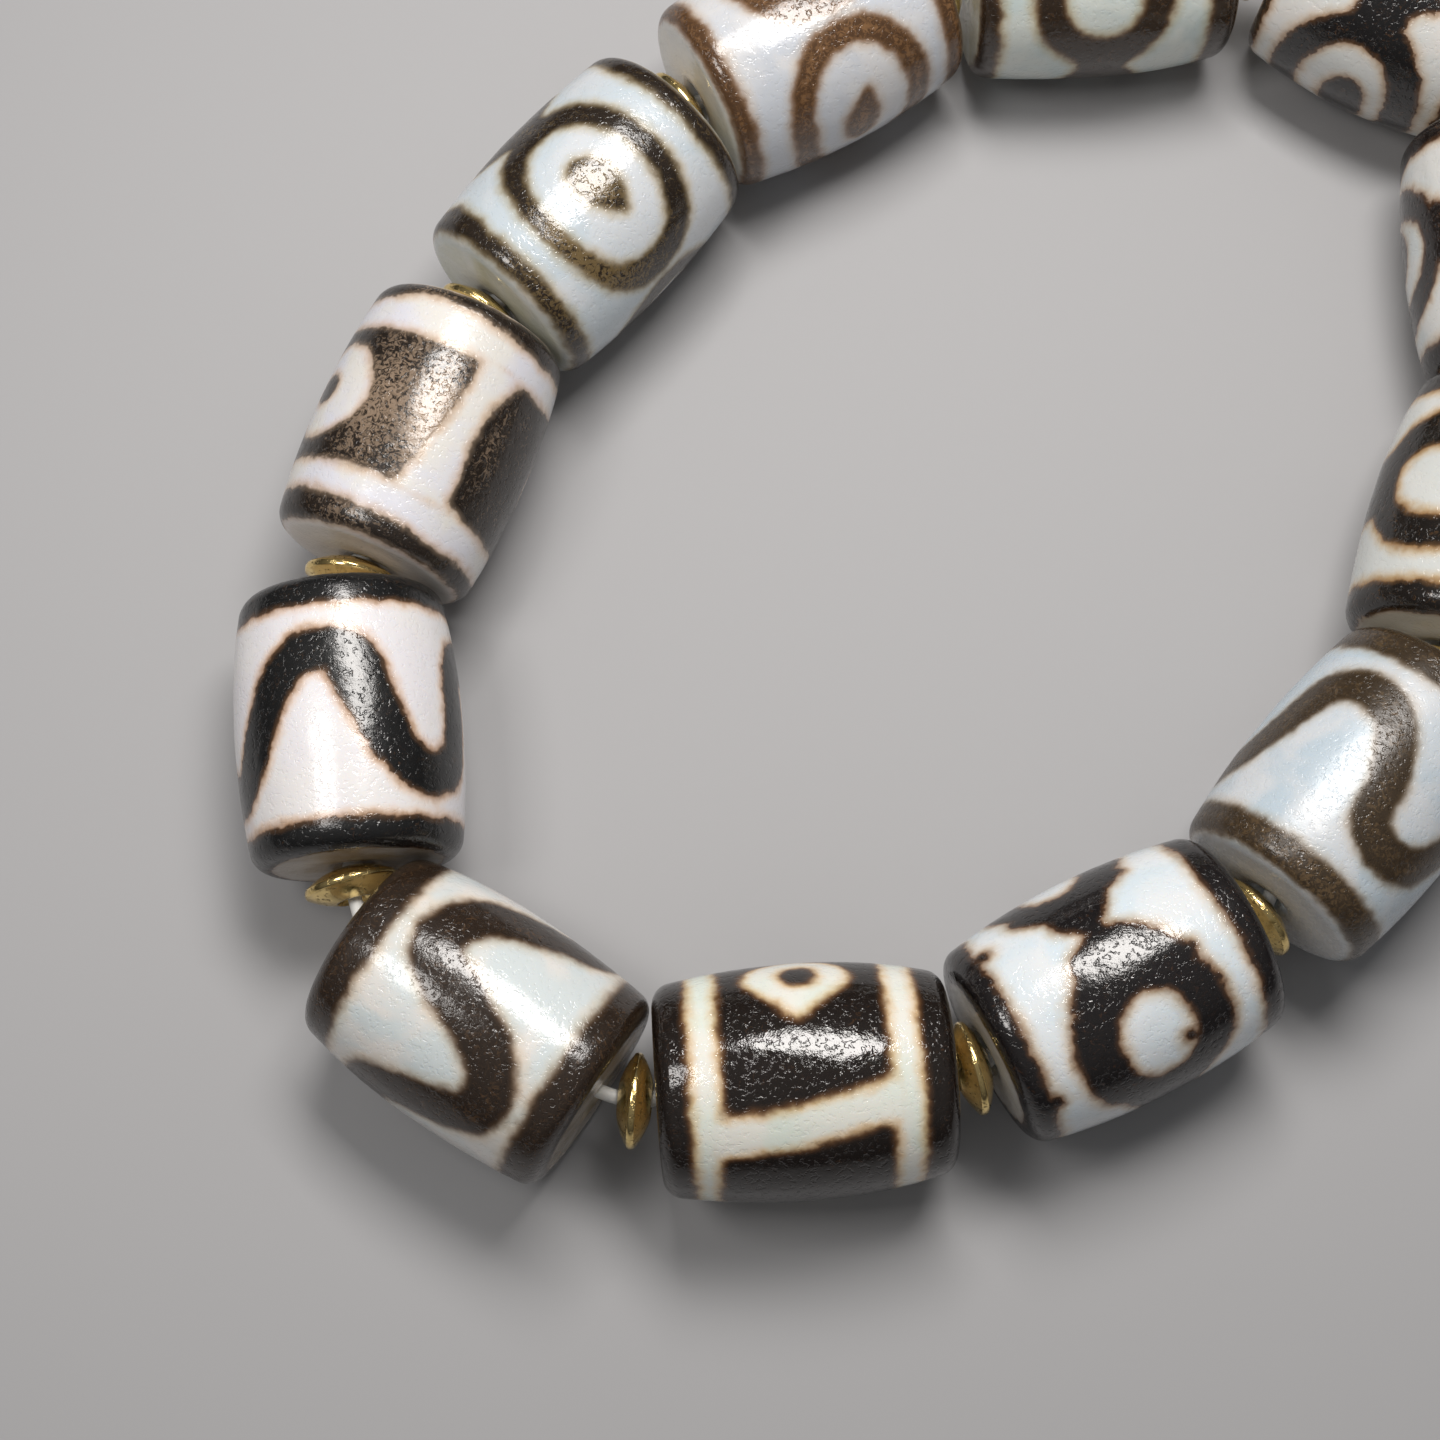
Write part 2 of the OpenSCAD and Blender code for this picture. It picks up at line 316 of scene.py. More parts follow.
            *twice(oval(0.3, 77, 2.6, 28, dark=False)),
        ],
    ),
    dict(  # long rings with teardrop pupils
        place=(-7.7, 29.2, 209.5), size=(16.1, 12.9, 11.0, 11.4), ground="pale",
        pale=(0.58, 0.61, 0.66), cloud=(0.68, 0.68, 0.69), dark=(0.085, 0.042, 0.018),
        brown=(0.25, 0.13, 0.055),
        stain=(0.86, 0.72, 0.58), end=(0.76, 0.73, 0.68), halo=0.75, spread=1.1, ragged=0.07, mottle=0.7,
        soft=0.24, swell=0.0, polish=0.16, reach=(1.1, 1.0),
        wear_and_highlight=[(0, 0, 9, 180, 0.55)],
        marks=[
            hoop((0, -END, -6.5)),
            hoop((0, 6.8, END)),
            oval(-0.1, -78, 4.7, 57),
            oval(0.0, 42, 4.7, 57),
            oval(0.1, 162, 4.7, 57),
            oval(-0.1, -78, 3.3, 44, dark=False),
            oval(0.0, 42, 3.3, 44, dark=False),
            oval(0.1, 162, 3.3, 44, dark=False),
            patch((-0.7, -61), (-1.0, -72), (-1.0, -86), (-0.4, -96), (0.7, -96), (1.2, -86), (1.0, -74),
                  (0.0, -66)),
            *twice(patch((-0.3, 60), (-1.0, 50), (-1.1, 34), (-0.4, 24), (0.6, 24), (1.1, 34), (1.0, 48),
                         (0.3, 58))),
        ],
    ),
    dict(  # big rings with pupils
        place=(-21.4, 17.7, 229.0), size=(15.8, 12.9, 11.8, 11.7), ground="pale",
        pale=(0.57, 0.64, 0.69), cloud=(0.67, 0.70, 0.73), dark=(0.020, 0.013, 0.008),
        brown=(0.19, 0.13, 0.055),
        stain=(0.84, 0.70, 0.50), end=(0.52, 0.54, 0.45), halo=0.8, spread=1.1, ragged=0.07, mottle=0.3,
        soft=0.24, swell=0.06, polish=0.16, reach=(0.85, 0.75),
        # Painted highlight: the last two spots paint the main light's glare on the pupil and the ring as
        # brown specks; the first browns the rings towards the last end and is made strong enough to carry
        # part of that glare.
        wear_and_highlight=[(3.5, -40, 6, 55, 0.85), (0.3, -12, 2.2, 20, 1.0), (3.2, -18, 2.5, 22, 1.0)],
        marks=[
            hoop((-180, -END, -6.5), (0, -END, -6.5), (30, -END, -6.3), (60, -END, -6.5)),
            hoop((-180, 6.7, END), (10, 6.5, END), (45, 5.9, END), (80, 6.5, END)),
            oval(0.15, -16, 4.45, 61, square=2.2),
            oval(0.1, 116, 4.4, 50, square=2.2),
            oval(0.0, 226, 4.4, 50, square=2.2),
            patch((-2.6, 32), (-1.6, 42), (-1.9, 50), (-3.2, 62), (3.0, 62), (2.0, 50), (1.4, 42), (2.6, 32)),
            oval(0.3, -15.5, 3.4, 44.5, dark=False),
            oval(0.1, 116, 3.3, 37, dark=False),
            oval(0.0, 226, 3.3, 37, dark=False),
            patch((0.0, -32), (-0.7, -24), (-1.0, -14), (-0.8, -3), (0.2, 4), (1.1, -2), (1.3, -14),
                  (0.8, -24)),
            oval(0.1, 116, 1.1, 15),
            oval(0.0, 226, 1.1, 15),
        ],
    ),
    dict(  # heaven and earth
        place=(-30.9, 2.9, 248.5), size=(15.8, 13.0, 11.6, 11.7), ground="dark",
        pale=(0.74, 0.74, 0.80), cloud=(0.78, 0.76, 0.72), dark=(0.018, 0.012, 0.008),
        brown=(0.36, 0.26, 0.18),
        stain=(0.90, 0.70, 0.54), end=(0.76, 0.71, 0.66), halo=0.8, spread=1.0, ragged=0.13, mottle=0.14,
        soft=0.1, swell=0.05, polish=0.2, reach=(0.95, 1.0),
        # Painted highlight: the first spot paints the main light's glare on the dark block as pale brown
        # specks; the other spots are worn brown stone.
        wear_and_highlight=[(0, -12, 5, 16, 1.1), (0, 12, 6.5, 30, 0.78), (-7, 15, 2, 20, 0.6), (7, 10, 1.5, 30, 0.5),
              (0, -50, 4, 10, 0.5)],
        marks=[
            hoop((-180, -6.2, -4.1), (-60, -6.2, -4.1), (0, -7.0, -4.1), (20, -7.0, -4.2), (50, -6.4, -4.2),
                 (120, -6.2, -4.1), dark=False),
            hoop((-180, 4.1, 6.6), (-80, 4.8, 6.8), (-40, 4.2, 6.7), (40, 4.2, 6.1), (120, 4.2, 6.5),
                 dark=False),
            *twice(patch((-4.8, -52), (-4, -50), (-2, -42), (0, -39), (3.6, -40), (4.8, -41), (4.8, -8),
                         (3.6, -11), (0, -19), (-3.8, -25), (-4.8, -26), dark=False), turn=180),
            patch((0.0, 22), (-1.6, 26), (-2.6, 34), (-3.1, 45), (-3.2, 58), (-2.4, 74), (-0.2, 88),
                  (2.2, 74), (3.0, 58), (2.9, 45), (2.4, 34), (1.6, 26), dark=False),
            oval(-0.2, 58, 0.85, 9),
            patch((0.0, -158), (-1.6, -154), (-2.6, -146), (-3.1, -135), (-3.2, -122), (-2.4, -106),
                  (-0.2, -94), (2.2, -106), (3.0, -122), (2.9, -135), (2.4, -146), (1.6, -154), dark=False),
            oval(-0.2, -123, 0.85, 9),
        ],
    ),
    dict(  # tiger tooth
        place=(-34.5, -14.4, 276.0), size=(15.8, 13.0, 11.4, 11.7), ground="pale",
        pale=(0.84, 0.82, 0.85), cloud=(0.86, 0.84, 0.84), dark=(0.008, 0.008, 0.008),
        brown=(0.24, 0.115, 0.045),
        stain=(0.92, 0.70, 0.52), end=(0.48, 0.4, 0.3), halo=0.85, spread=1.0, ragged=0.1, mottle=0.04,
        soft=0.08, swell=0.16, polish=0.2, reach=(1.5, 1.6),
        marks=[
            hoop((0, -END, -6.1)),
            hoop((0, 6.5, END)),
            line(2.3, (-2.2, -9), (-0.2, -18), (2.0, -27)),
            line(2.2, (-2.5, -77), (2.5, -72), (3.7, -60), (3.8, -45), (2.5, -32), (0, -22), (-2.5, -14),
                 (-3.1, 0), (-3.0, 15), (-1.5, 30), (0, 37), (2.5, 50), (3.8, 62), (3.8, 76), (2.6, 90),
                 (0.2, 99), (-2.4, 107), (-3.1, 121), (-3.0, 136), (-1.6, 150), (0.2, 158), (2.5, 170),
                 (3.7, 182), (3.7, 197), (2.5, 210), (0, 220), (-2.4, 228), (-3.2, 243), (-3.2, 262),
                 closed=True),
        ],
    ),
    dict(  # tiger tooth
        place=(-26.8, -30.8, 326.5), size=(16.0, 13.1, 11.1, 12.0), ground="pale",
        pale=(0.70, 0.76, 0.77), cloud=(0.84, 0.81, 0.77), dark=(0.026, 0.016, 0.010),
        brown=(0.15, 0.08, 0.035),
        stain=(0.88, 0.75, 0.60), end=(0.34, 0.27, 0.18), halo=0.8, spread=1.3, ragged=0.05, mottle=0.22,
        soft=0.2, swell=0.2, polish=0.17, reach=(1.6, 1.75),
        marks=[
            hoop((0, -END, -6.0)),
            hoop((0, 6.2, END)),
            line(2.3, (3.5, -74), (1.0, -60), (-1.5, -48), (-3.0, -30), (-2.8, -12), (0, 1), (2.5, 13),
                 (3.6, 30), (3.0, 47), (0, 58), (-2.4, 68), (-3.0, 90), (-2.8, 108), (0, 121), (2.5, 133),
                 (3.6, 150), (3.0, 167), (0, 178), (-2.4, 188), (-3.0, 210), (-2.8, 228), (0, 241),
                 (2.5, 253), (3.6, 270), closed=True),
        ],
    ),
]

# The spacers: the share of the string's turn between its two beads that each has made, then in
# millimetres how far it stands forward of the gap's middle and outward, and how far the taut thread
# runs inward of the middle of the bores beside it
SPACERS = [
    (0.75, 0.5, 0.3, 0.3), (0.50, 0.1, 0.4, 0.2), (0.50, 0.0, 0.3, 0.2), (0.50, 0.1, 0.3, 0.2),
    (0.55, -0.05, 0.3, 0.2), (0.30, -0.9, 0.6, 0.0), (0.50, 0.0, 0.3, 0.2), (0.50, 0.0, 0.3, 0.2),
    (0.50, 0.05, 0.4, 0.2), (0.50, -0.08, 0.5, 0.2), (0.50, -0.3, 0.3, 0.1), (0.20, -1.05, 0.2, 0.05),
]


def ahead(heading):
    """The level way along the string at a heading in degrees."""
    return Vector((cos(radians(heading)), sin(radians(heading)), 0))


def outside(heading):
    """The level way out of the loop at a heading in degrees."""
    return Vector((sin(radians(heading)), -cos(radians(heading)), 0))


def middle(bead):
    """The middle of a bead that lies on the floor, in millimetres."""
    x, y, _ = bead["place"]
    return Vector((x, y, bead["size"][1] / 2))


def bead_end(bead, way):
    """The middle of a bead's last end face, or with way -1 of its first, in millimetres."""
    return middle(bead) + way * bead["size"][0] / 2 * ahead(bead["place"][2])


def spacer_pose(number):
    """The heading and the middle of a spacer, in degrees and millimetres."""
    before, after = BEADS[number - 2], BEADS[number - 1]
    share, forward, outward, _ = SPACERS[number - 1]
    turn = (after["place"][2] - before["place"][2] + 180) % 360 - 180
    heading = before["place"][2] + share * turn
    gap = (bead_end(before, 1) + bead_end(after, -1)) / 2
    return heading, gap + forward * ahead(heading) + outward * outside(heading)


# Depth of the patterns: how far a place on a bead is inside the dark stone, in millimetres

def smooth_path(points, closed):
    """A smooth curve through (along, round) points, in millimetres on the unrolled side."""
    places = np.array([(along, around * DEGREE) for along, around in points])
    if closed:
        before, after = places[-1:], places[:2]
    else:
        before, after = 2 * places[:1] - places[1:2], 2 * places[-1:] - places[-2:-1]
    knots = np.vstack([before, places, after])
    rows = []
    for a, b, c, d in zip(knots[:-3], knots[1:-2], knots[2:-1], knots[3:]):
        for step in range(CURVE_STEPS):
            t = step / CURVE_STEPS
            bow = (2 * a - 5 * b + 4 * c - d) * t * t + (3 * b - a - 3 * c + d) * t ** 3
            rows.append(0.5 * (2 * b + (c - a) * t + bow))
    rows.append(places[0] if closed else places[-1])
    return np.array(rows)


def wave_path(points):
    """A smooth curve that goes once round the bead and meets its own start."""
    turned = [(along, around + 360) for along, around in points]
    back = [(along, around - 360) for along, around in points]
    return smooth_path(back[-2:] + list(points) + turned[:3], closed=False)


def distance_to(path, along, around):
    """The distance from each place to a path."""
    nearest = np.full(along.shape, np.inf)
    for (ax, ay), (bx, by) in zip(path[:-1], path[1:]):
        dx, dy = bx - ax, by - ay
        squared = max(dx * dx + dy * dy, NO_LENGTH)
        share = np.clip(((along - ax) * dx + (around - ay) * dy) / squared, 0, 1)
        away = (along - ax - share * dx) ** 2 + (around - ay - share * dy) ** 2
        nearest = np.minimum(nearest, away)
    return np.sqrt(nearest)


def inside_of(path, along, around):
    """Whether each place is inside a closed path, by the sides that a ray from it crosses."""
    crossed = np.zeros(along.shape, bool)
    for (ax, ay), (bx, by) in zip(path[:-1], path[1:]):
        if ay != by:
            spans = (ay > around) != (by > around)
            crossed ^= spans & (along < ax + (bx - ax) * (around - ay) / (by - ay))
    return crossed


def shape_depth(path, along, around):
    """How far inside a closed path each place is, and below 0 outside it."""
    away = distance_to(path, along, around)
    return np.where(inside_of(path, along, around), away, -away)


def oval_path(along, around, half_along, half_around, square):
    turns = np.linspace(0, 2 * pi, OVAL_POINTS)
    c, s = np.cos(turns), np.sin(turns)
    x = along + half_along * np.sign(c) * np.abs(c) ** (2 / square)
    y = (around + half_around * np.sign(s) * np.abs(s) ** (2 / square)) * DEGREE
    rows = np.stack([x, y], axis=1)
    rows[-1] = rows[0]
    return rows


def wrapped_depth(measure, path, along, around):
    """The depth in a shape that may stand across the seam of the unrolled side."""
    depth = np.full(along.shape, -FAR)
    for turn in (-360 * DEGREE, 0, 360 * DEGREE):
        there = around + turn
        near = (there > path[:, 1].min() - FAR) & (there < path[:, 1].max() + FAR)
        if near.any():
            depth[near] = np.maximum(depth[near], measure(path, along[near], there[near]))
    return depth


def mark_depth(kind, values, along, around):
    """How far inside a mark each place is. All is in millimetres on the unrolled side."""
    if kind == "hoop":
        rows = sorted(values)
        turns = [row[0] for row in rows]
        low = np.interp(around / DEGREE, turns, [row[1] for row in rows], period=360)
        high = np.interp(around / DEGREE, turns, [row[2] for row in rows], period=360)
        return np.minimum(along - low, high - along)
    if kind == "line":
        width, points, closed = values
        path = wave_path(points) if closed else smooth_path(points, False)
        return wrapped_depth(lambda p, x, y: width / 2 - distance_to(p, x, y), path, along, around)
    path = oval_path(*values) if kind == "oval" else smooth_path(values, True)
    return wrapped_depth(shape_depth, path, along, around)


def blended(a, b):
    """The larger of two depths, with the corner between them rounded."""
    h = np.clip(0.5 + 0.5 * (a - b) / CORNER, 0, 1)
    return b + (a - b) * h + CORNER * h * (1 - h)


def pattern_depth(bead, along, around):
    """The marks laid over the ground, one after another. Around is in degrees here."""
    depth = np.full(along.shape, FAR if bead["ground"] == "dark" else -FAR)
    for dark, kind, values in bead["marks"]:
        mark = mark_depth(kind, values, along, around * DEGREE)
        depth = blended(depth, mark) if dark else -blended(-depth, mark)
    return np.clip(depth, -FAR, FAR)


def wear_and_highlight_places(bead, along, around):
    """How far the dark stone is worn to brown, strongest in the middle of each patch. Some patches are not
    wear but painted highlight, where the main light's glare is painted as brown specks.
    """
    wear_and_highlight = np.zeros(along.shape)
    for middle_along, middle_around, half_along, half_around, strength in bead.get("wear_and_highlight", ()):
        turn = (around - middle_around + 180) % 360 - 180
        away = ((along - middle_along) / half_along) ** 2 + (turn / half_around) ** 2
        wear_and_highlight = np.maximum(wear_and_highlight, strength * np.exp(-away))
    return wear_and_highlight


# Mesh helpers

def lathe(profile, steps):
    """A closed solid turned about the x axis from a closed outline of (along, radius)."""
    bm = bmesh.new()
    verts = [bm.verts.new((along, 0, radius)) for along, radius in profile]
    edges = [bm.edges.new((a, b)) for a, b in zip(verts, verts[1:] + verts[:1])]
    bmesh.ops.spin(bm, geom=verts + edges, cent=(0, 0, 0), axis=(1, 0, 0), angle=2 * pi,
                   steps=steps, use_merge=True)
    bmesh.ops.recalc_face_normals(bm, faces=bm.faces)
    for face in bm.faces:
        face.smooth = True
    return bm


def into_object(bm, name, matrix, material, replaced):
    """The finished piece, which stands for one CAD node."""
    bmesh.ops.transform(bm, matrix=matrix, verts=bm.verts)
    mesh = bpy.data.meshes.new(name)
    bm.to_mesh(mesh)
    bm.free()
    piece = bpy.data.objects.new(name, mesh)
    bpy.context.scene.collection.objects.link(piece)
    mesh.materials.append(material)
    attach(piece, "root")
    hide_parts(replaced)
    return piece


def placed(place, heading):
    """The matrix that turns and moves a piece made in millimetres about the x axis, in metres."""
    return Matrix.Scale(MM, 4) @ Matrix.Translation(place) @ Matrix.Rotation(radians(heading), 4, "Z")


def bead_side(length, middle_d, end_d, rim_r):
    """Half a bead's side: a barrel arc from the middle, then the rim's arc to the end face."""
    half = length / 2
    crown = (middle_d - end_d) / 2
    barrel_r = (half * half + crown * crown) / (2 * crown)
    barrel_x = middle_d / 2 - barrel_r
    rim_y = half - rim_r
    rim_x = barrel_x + sqrt((barrel_r - rim_r) ** 2 - rim_y ** 2)
    join = asin(rim_y / (barrel_r - rim_r))
    side = []
    for k in range(BARREL_STEPS):
        turn = join * k / BARREL_STEPS
        side.append((barrel_r * sin(turn), barrel_x + barrel_r * cos(turn)))
    for k in range(RIM_STEPS + 1):
        turn = join + (pi / 2 - join) * k / RIM_STEPS
        side.append((rim_y + rim_r * sin(turn), rim_x + rim_r * cos(turn)))
    return side, rim_x


def bead_profile(bead, sizes):
    """A bead's closed outline: the side, the end faces, the mouths of the bore and the bore."""
    length, middle_d, first_d, last_d = bead["size"]
    bore_r = sizes.bore / MM / 2
    mouth = sizes.mouth / MM
    halves = []
    for end_d in (last_d, first_d):
        side, face_r = bead_side(length, middle_d, end_d, sizes.rim / MM)
        inner = bore_r + mouth
        for k in range(1, FACE_STEPS + 1):
            side.append((length / 2, face_r + (inner - face_r) * k / FACE_STEPS))
        side.append((length / 2 - mouth, bore_r))
        halves.append(side)
    last, first = halves
    return last + [(-along, radius) for along, radius in reversed(first[1:])]


# Material helpers

class Nodes:
    """Makes the nodes of one tree, and sets or links their sockets."""

    def __init__(self, tree):
        self.tree = tree

    def add(self, kind, place=(0, 0), **settings):
        made = self.tree.nodes.new(kind)
        made.location = place
        for name, value in settings.items():
            setattr(made, name, value)
        return made

    def give(self, made, values):
        """Gives each named or numbered socket of a node its value, or a link to another socket."""
        for key, value in values.items():
            if isinstance(value, bpy.types.NodeSocket):
                self.tree.links.new(value, made.inputs[key])
            else:
                made.inputs[key].default_value = value

    def maths(self, operation, *values, clamp=False):
        made = self.add("ShaderNodeMath", operation=operation, use_clamp=clamp)
        self.give(made, dict(enumerate(values)))
        return made.outputs[0]

    def times(self, a, b, clamp=False):
        return self.maths("MULTIPLY", a, b, clamp=clamp)

    def times_add(self, a, b, c):
        """a times b, plus c."""
        return self.maths("MULTIPLY_ADD", a, b, c)

    def ramp(self, value, low, high):
        """0 up to low, 1 from high on, and a smooth step between them."""
        made = self.add("ShaderNodeMapRange", interpolation_type="SMOOTHSTEP")
        self.give(made, {"Value": value, "From Min": low, "From Max": high})
        return made.outputs[0]

    def mix(self, share, a, b, blend="MIX"):
        """A mix of two colours, each a socket or (red, green, blue)."""
        made = self.add("ShaderNodeMix", data_type="RGBA", blend_type=blend)
        a, b = ((*value, 1) if isinstance(value, tuple) else value for value in (a, b))
        self.give(made, {0: share, 6: a, 7: b})
        return made.outputs[2]

    def object_place(self):
        """The object's own coordinates, in millimetres."""
        coordinates = self.add("ShaderNodeTexCoord")
        scaled = self.add("ShaderNodeVectorMath", operation="SCALE")
        self.give(scaled, {0: coordinates.outputs["Object"], "Scale": 1 / MM})
        return scaled.outputs[0]

    def grain(self, place, scale, detail=3.0, roughness=0.55, distortion=0.0):
        made = self.add("ShaderNodeTexNoise")
        self.give(made, {"Vector": place, "Scale": scale, "Detail": detail, "Roughness": roughness,
                         "Distortion": distortion})
        return made.outputs["Fac"]

    def bump(self, height, strength, invert=False):
        """The normal over a relief whose heights are shares of RELIEF."""
        made = self.add("ShaderNodeBump", (-200, -300), invert=invert)
        self.give(made, {"Height": height, "Strength": strength, "Distance": RELIEF})
        return made.outputs["Normal"]


def new_group(name, inputs, outputs):
    """A node group, the maker of its nodes, its input sockets and its output node."""
    group = bpy.data.node_groups.new(name, "ShaderNodeTree")
    for socket_name, value in inputs.items():
        kind = "NodeSocketColor" if isinstance(value, tuple) else "NodeSocketFloat"
        socket = group.interface.new_socket(socket_name, in_out="INPUT", socket_type=kind)
        socket.default_value = value
    for socket_name, kind in outputs.items():
        group.interface.new_socket(socket_name, in_out="OUTPUT", socket_type=kind)
    n = Nodes(group)
    entry = n.add("NodeGroupInput", (-1200, 0))
    leave = n.add("NodeGroupOutput", (1200, 0))
    return group, n, entry.outputs, leave


def etched_agate_group():
    """Stone with a dark pattern: cloudy pale ground, a stained and burnt rim, worn dark parts, and spots of
    painted highlight on the dark parts where they are given.
    """
    group, n, given, out = new_group("Etched agate", {
        "Depth": 0.0,
        "Face": 0.0,
        "Pale": (0.8, 0.8, 0.8, 1),
        "Cloud": (0.9, 0.9, 0.9, 1),
        "Dark": (0.01, 0.01, 0.01, 1),
        "Brown": (0.2, 0.1, 0.04, 1),
        "Stain": (0.85, 0.6, 0.38, 1),
        "End": (0.6, 0.55, 0.45, 1),
        "Halo": 0.6,
        "Spread": 1.0,
        "Ragged": 0.2,
        "Wear and highlight": 0.0,
        "Mottle": 0.3,
        "Soft": 0.1,
        "Polish": 0.13,
    }, {"Color": "NodeSocketColor", "Roughness": "NodeSocketFloat", "Height": "NodeSocketFloat"})
    p = n.object_place()

    # The edge of the dark parts wanders a little, and frays more in some places than in others
    wobble = n.times(n.maths("SUBTRACT", n.grain(p, 0.8, 1.0), 0.5), 0.5)
    fray = n.maths("SUBTRACT", n.grain(p, 2.4, 2.5, 0.5), 0.5)
    uneven = n.times_add(n.ramp(n.grain(p, 0.4, 1.0), 0.38, 0.62), 3.2, 1.2)
    smooth = n.maths("ADD", given["Depth"], wobble)
    edge = n.times_add(n.times(fray, uneven), given["Ragged"], smooth)
    smooth = n.times_add(fray, 0.3, smooth)

    # The pale ground, with clouds and a little dust in it
    clouds = n.ramp(n.grain(p, 0.22, 3.0, 0.5, 0.6), 0.38, 0.62)
    ground = n.mix(clouds, given["Pale"], given["Cloud"])
    dust = n.ramp(n.grain(p, 5.0, 4.0, 0.6), 0.64, 0.8)
    ground = n.mix(n.times(dust, 0.15), ground, given["Brown"])

    # A warm stain beside the dark parts, and a burnt rim closer to them
    stain_noise = n.times_add(n.grain(p, 1.3, 3.0), 0.9, 0.55)
    stain_start = n.times(given["Spread"], -0.78)
    stain = n.times(n.ramp(smooth, stain_start, -0.05), stain_noise)
    stain = n.times(stain, given["Halo"], clamp=True)
    ground = n.mix(stain, ground, given["Stain"], "MULTIPLY")
    burnt_start = n.times(given["Spread"], -0.4)
    burnt = n.ramp(smooth, burnt_start, 0.12)
    burnt = n.times(burnt, given["Halo"], clamp=True)
    ground = n.mix(burnt, ground, given["Brown"])

    # Brown specks in the dark stone: the more it is worn, the more of them. The given wear also carries spots
    # of painted highlight, where the main light's glare is painted as specks.
    wear_and_highlight = n.ramp(n.grain(p, 0.7, 3.0), 0.35, 0.65)
    wear_and_highlight = n.times_add(wear_and_highlight, 0.15, given["Mottle"])
    wear_and_highlight = n.times(wear_and_highlight, n.ramp(smooth, -0.1, 0.9))
    wear_and_highlight = n.maths("MAXIMUM", wear_and_highlight, given["Wear and highlight"])
    low = n.times_add(wear_and_highlight, -0.26, 0.60)
    speck = n.ramp(n.grain(p, 2.3, 4.5, 0.66, 1.8), low, n.maths("ADD", low, 0.14))
    speck_share = n.times_add(wear_and_highlight, 0.95, 0.03)
    speck = n.times(speck, speck_share, clamp=True)
    stone = n.mix(speck, given["Dark"], given["Brown"])
    thin = n.times(n.maths("SUBTRACT", 1.0, n.ramp(edge, 0.0, 0.4)), 0.3)
    stone = n.mix(thin, stone, given["Brown"])

    # The dark stone over the ground, and the paler end faces
    mask = n.ramp(edge, n.times(given["Soft"], -1.0), given["Soft"])
    ends = n.mix(n.times(clouds, 0.5), given["End"], given["Cloud"])
    ends = n.mix(n.times(burnt, 0.6), ends, given["Brown"])
    ground = n.mix(given["Face"], ground, ends)
    stone = n.mix(mask, ground, stone)

    # Small pits and waves in the polish, deeper in the dark stone
    pits = n.ramp(n.grain(p, 3.4, 2.0, 0.5, 0.4), 0.34, 0.46)
    pits = n.times(pits, 0.45)
    height = n.times_add(n.grain(p, 9.0, 1.0), 0.16, pits)
    height = n.times_add(n.grain(p, 1.4, 1.0), 0.5, height)
    height = n.times(height, n.times_add(mask, 0.4, 0.6))
    height = n.times_add(mask, -0.2, height)
    smoothest = n.maths("SUBTRACT", given["Polish"], 0.06)
    rough = n.times_add(n.grain(p, 1.2, 3.0), 0.12, smoothest)

    n.give(out, {"Color": stone, "Roughness": rough, "Height": height})
    return group


def plain_material(name):
    """A new material, the maker of its nodes and its shader."""
    material = bpy.data.materials.new(name)
    material.use_nodes = True
    return material, Nodes(material.node_tree), material.node_tree.nodes["Principled BSDF"]


def bead_material(number, bead, group):
    material, n, shader = plain_material("bead_%d_agate" % number)
    effect = n.add("ShaderNodeGroup", (-400, 0), node_tree=group)
    for socket, name in (("Depth", "etch_depth"), ("Face", "end_face"), ("Wear and highlight", "wear_and_highlight")):
        reader = n.add("ShaderNodeAttribute", (-700, 0), attribute_name=name)
        n.give(effect, {socket: reader.outputs["Fac"]})
    for socket in ("Pale", "Cloud", "Dark", "Brown", "Stain", "End"):
        n.give(effect, {socket: (*bead[socket.lower()], 1)})
    for socket in ("Halo", "Spread", "Ragged", "Mottle", "Soft", "Polish"):
        n.give(effect, {socket: bead[socket.lower()]})
    n.give(shader, {
        "Base Color": effect.outputs["Color"],
        "Roughness": effect.outputs["Roughness"],
        "Normal": n.bump(effect.outputs["Height"], 1.0),
        "IOR": 1.54,
        "Specular IOR Level": 0.65,
        "Subsurface Weight": 0.12,
        "Subsurface Radius": (1.0, 0.8, 0.6),
        "Subsurface Scale": 0.6 * MM,
    })
    return material


def spacer_material(sizes):
    """Gilt metal, tarnished in patches and dotted with small pits."""
    material, n, shader = plain_material("spacer_gilt")
    p = n.object_place()
    tarnish = n.ramp(n.grain(p, 1.4, 4.0, 0.6), 0.52, 0.72)
    pits = n.ramp(n.grain(p, 4.0, 4.0, 0.6), 0.57, 0.67)
    tint = n.mix(n.times(tarnish, 0.5), tuple(sizes.metal), (0.34, 0.23, 0.06))
    tint = n.mix(n.times(pits, 0.6), tint, (0.10, 0.07, 0.03))
    rough = n.times_add(n.grain(p, 3.0, 3.0), 0.16, 0.06)
    rough = n.times_add(pits, 0.3, rough)
    relief = n.times_add(n.grain(p, 0.8, 1.0), 0.4, pits)
    n.give(shader, {"Base Color": tint, "Roughness": rough, "Normal": n.bump(relief, 0.35, invert=True),
                    "Metallic": 1.0})
    return material


def elastic_material():
    material, n, shader = plain_material("elastic_white")
    p = n.object_place()
    tint = n.mix(n.grain(p, 4.0, 3.0), (0.72, 0.73, 0.72), (0.92, 0.92, 0.90))
    rough = n.times_add(n.grain(p, 5.0, 2.0), 0.2, 0.35)
    n.give(shader, {"Base Color": tint, "Roughness": rough})
    return material


# Settings that a user may change

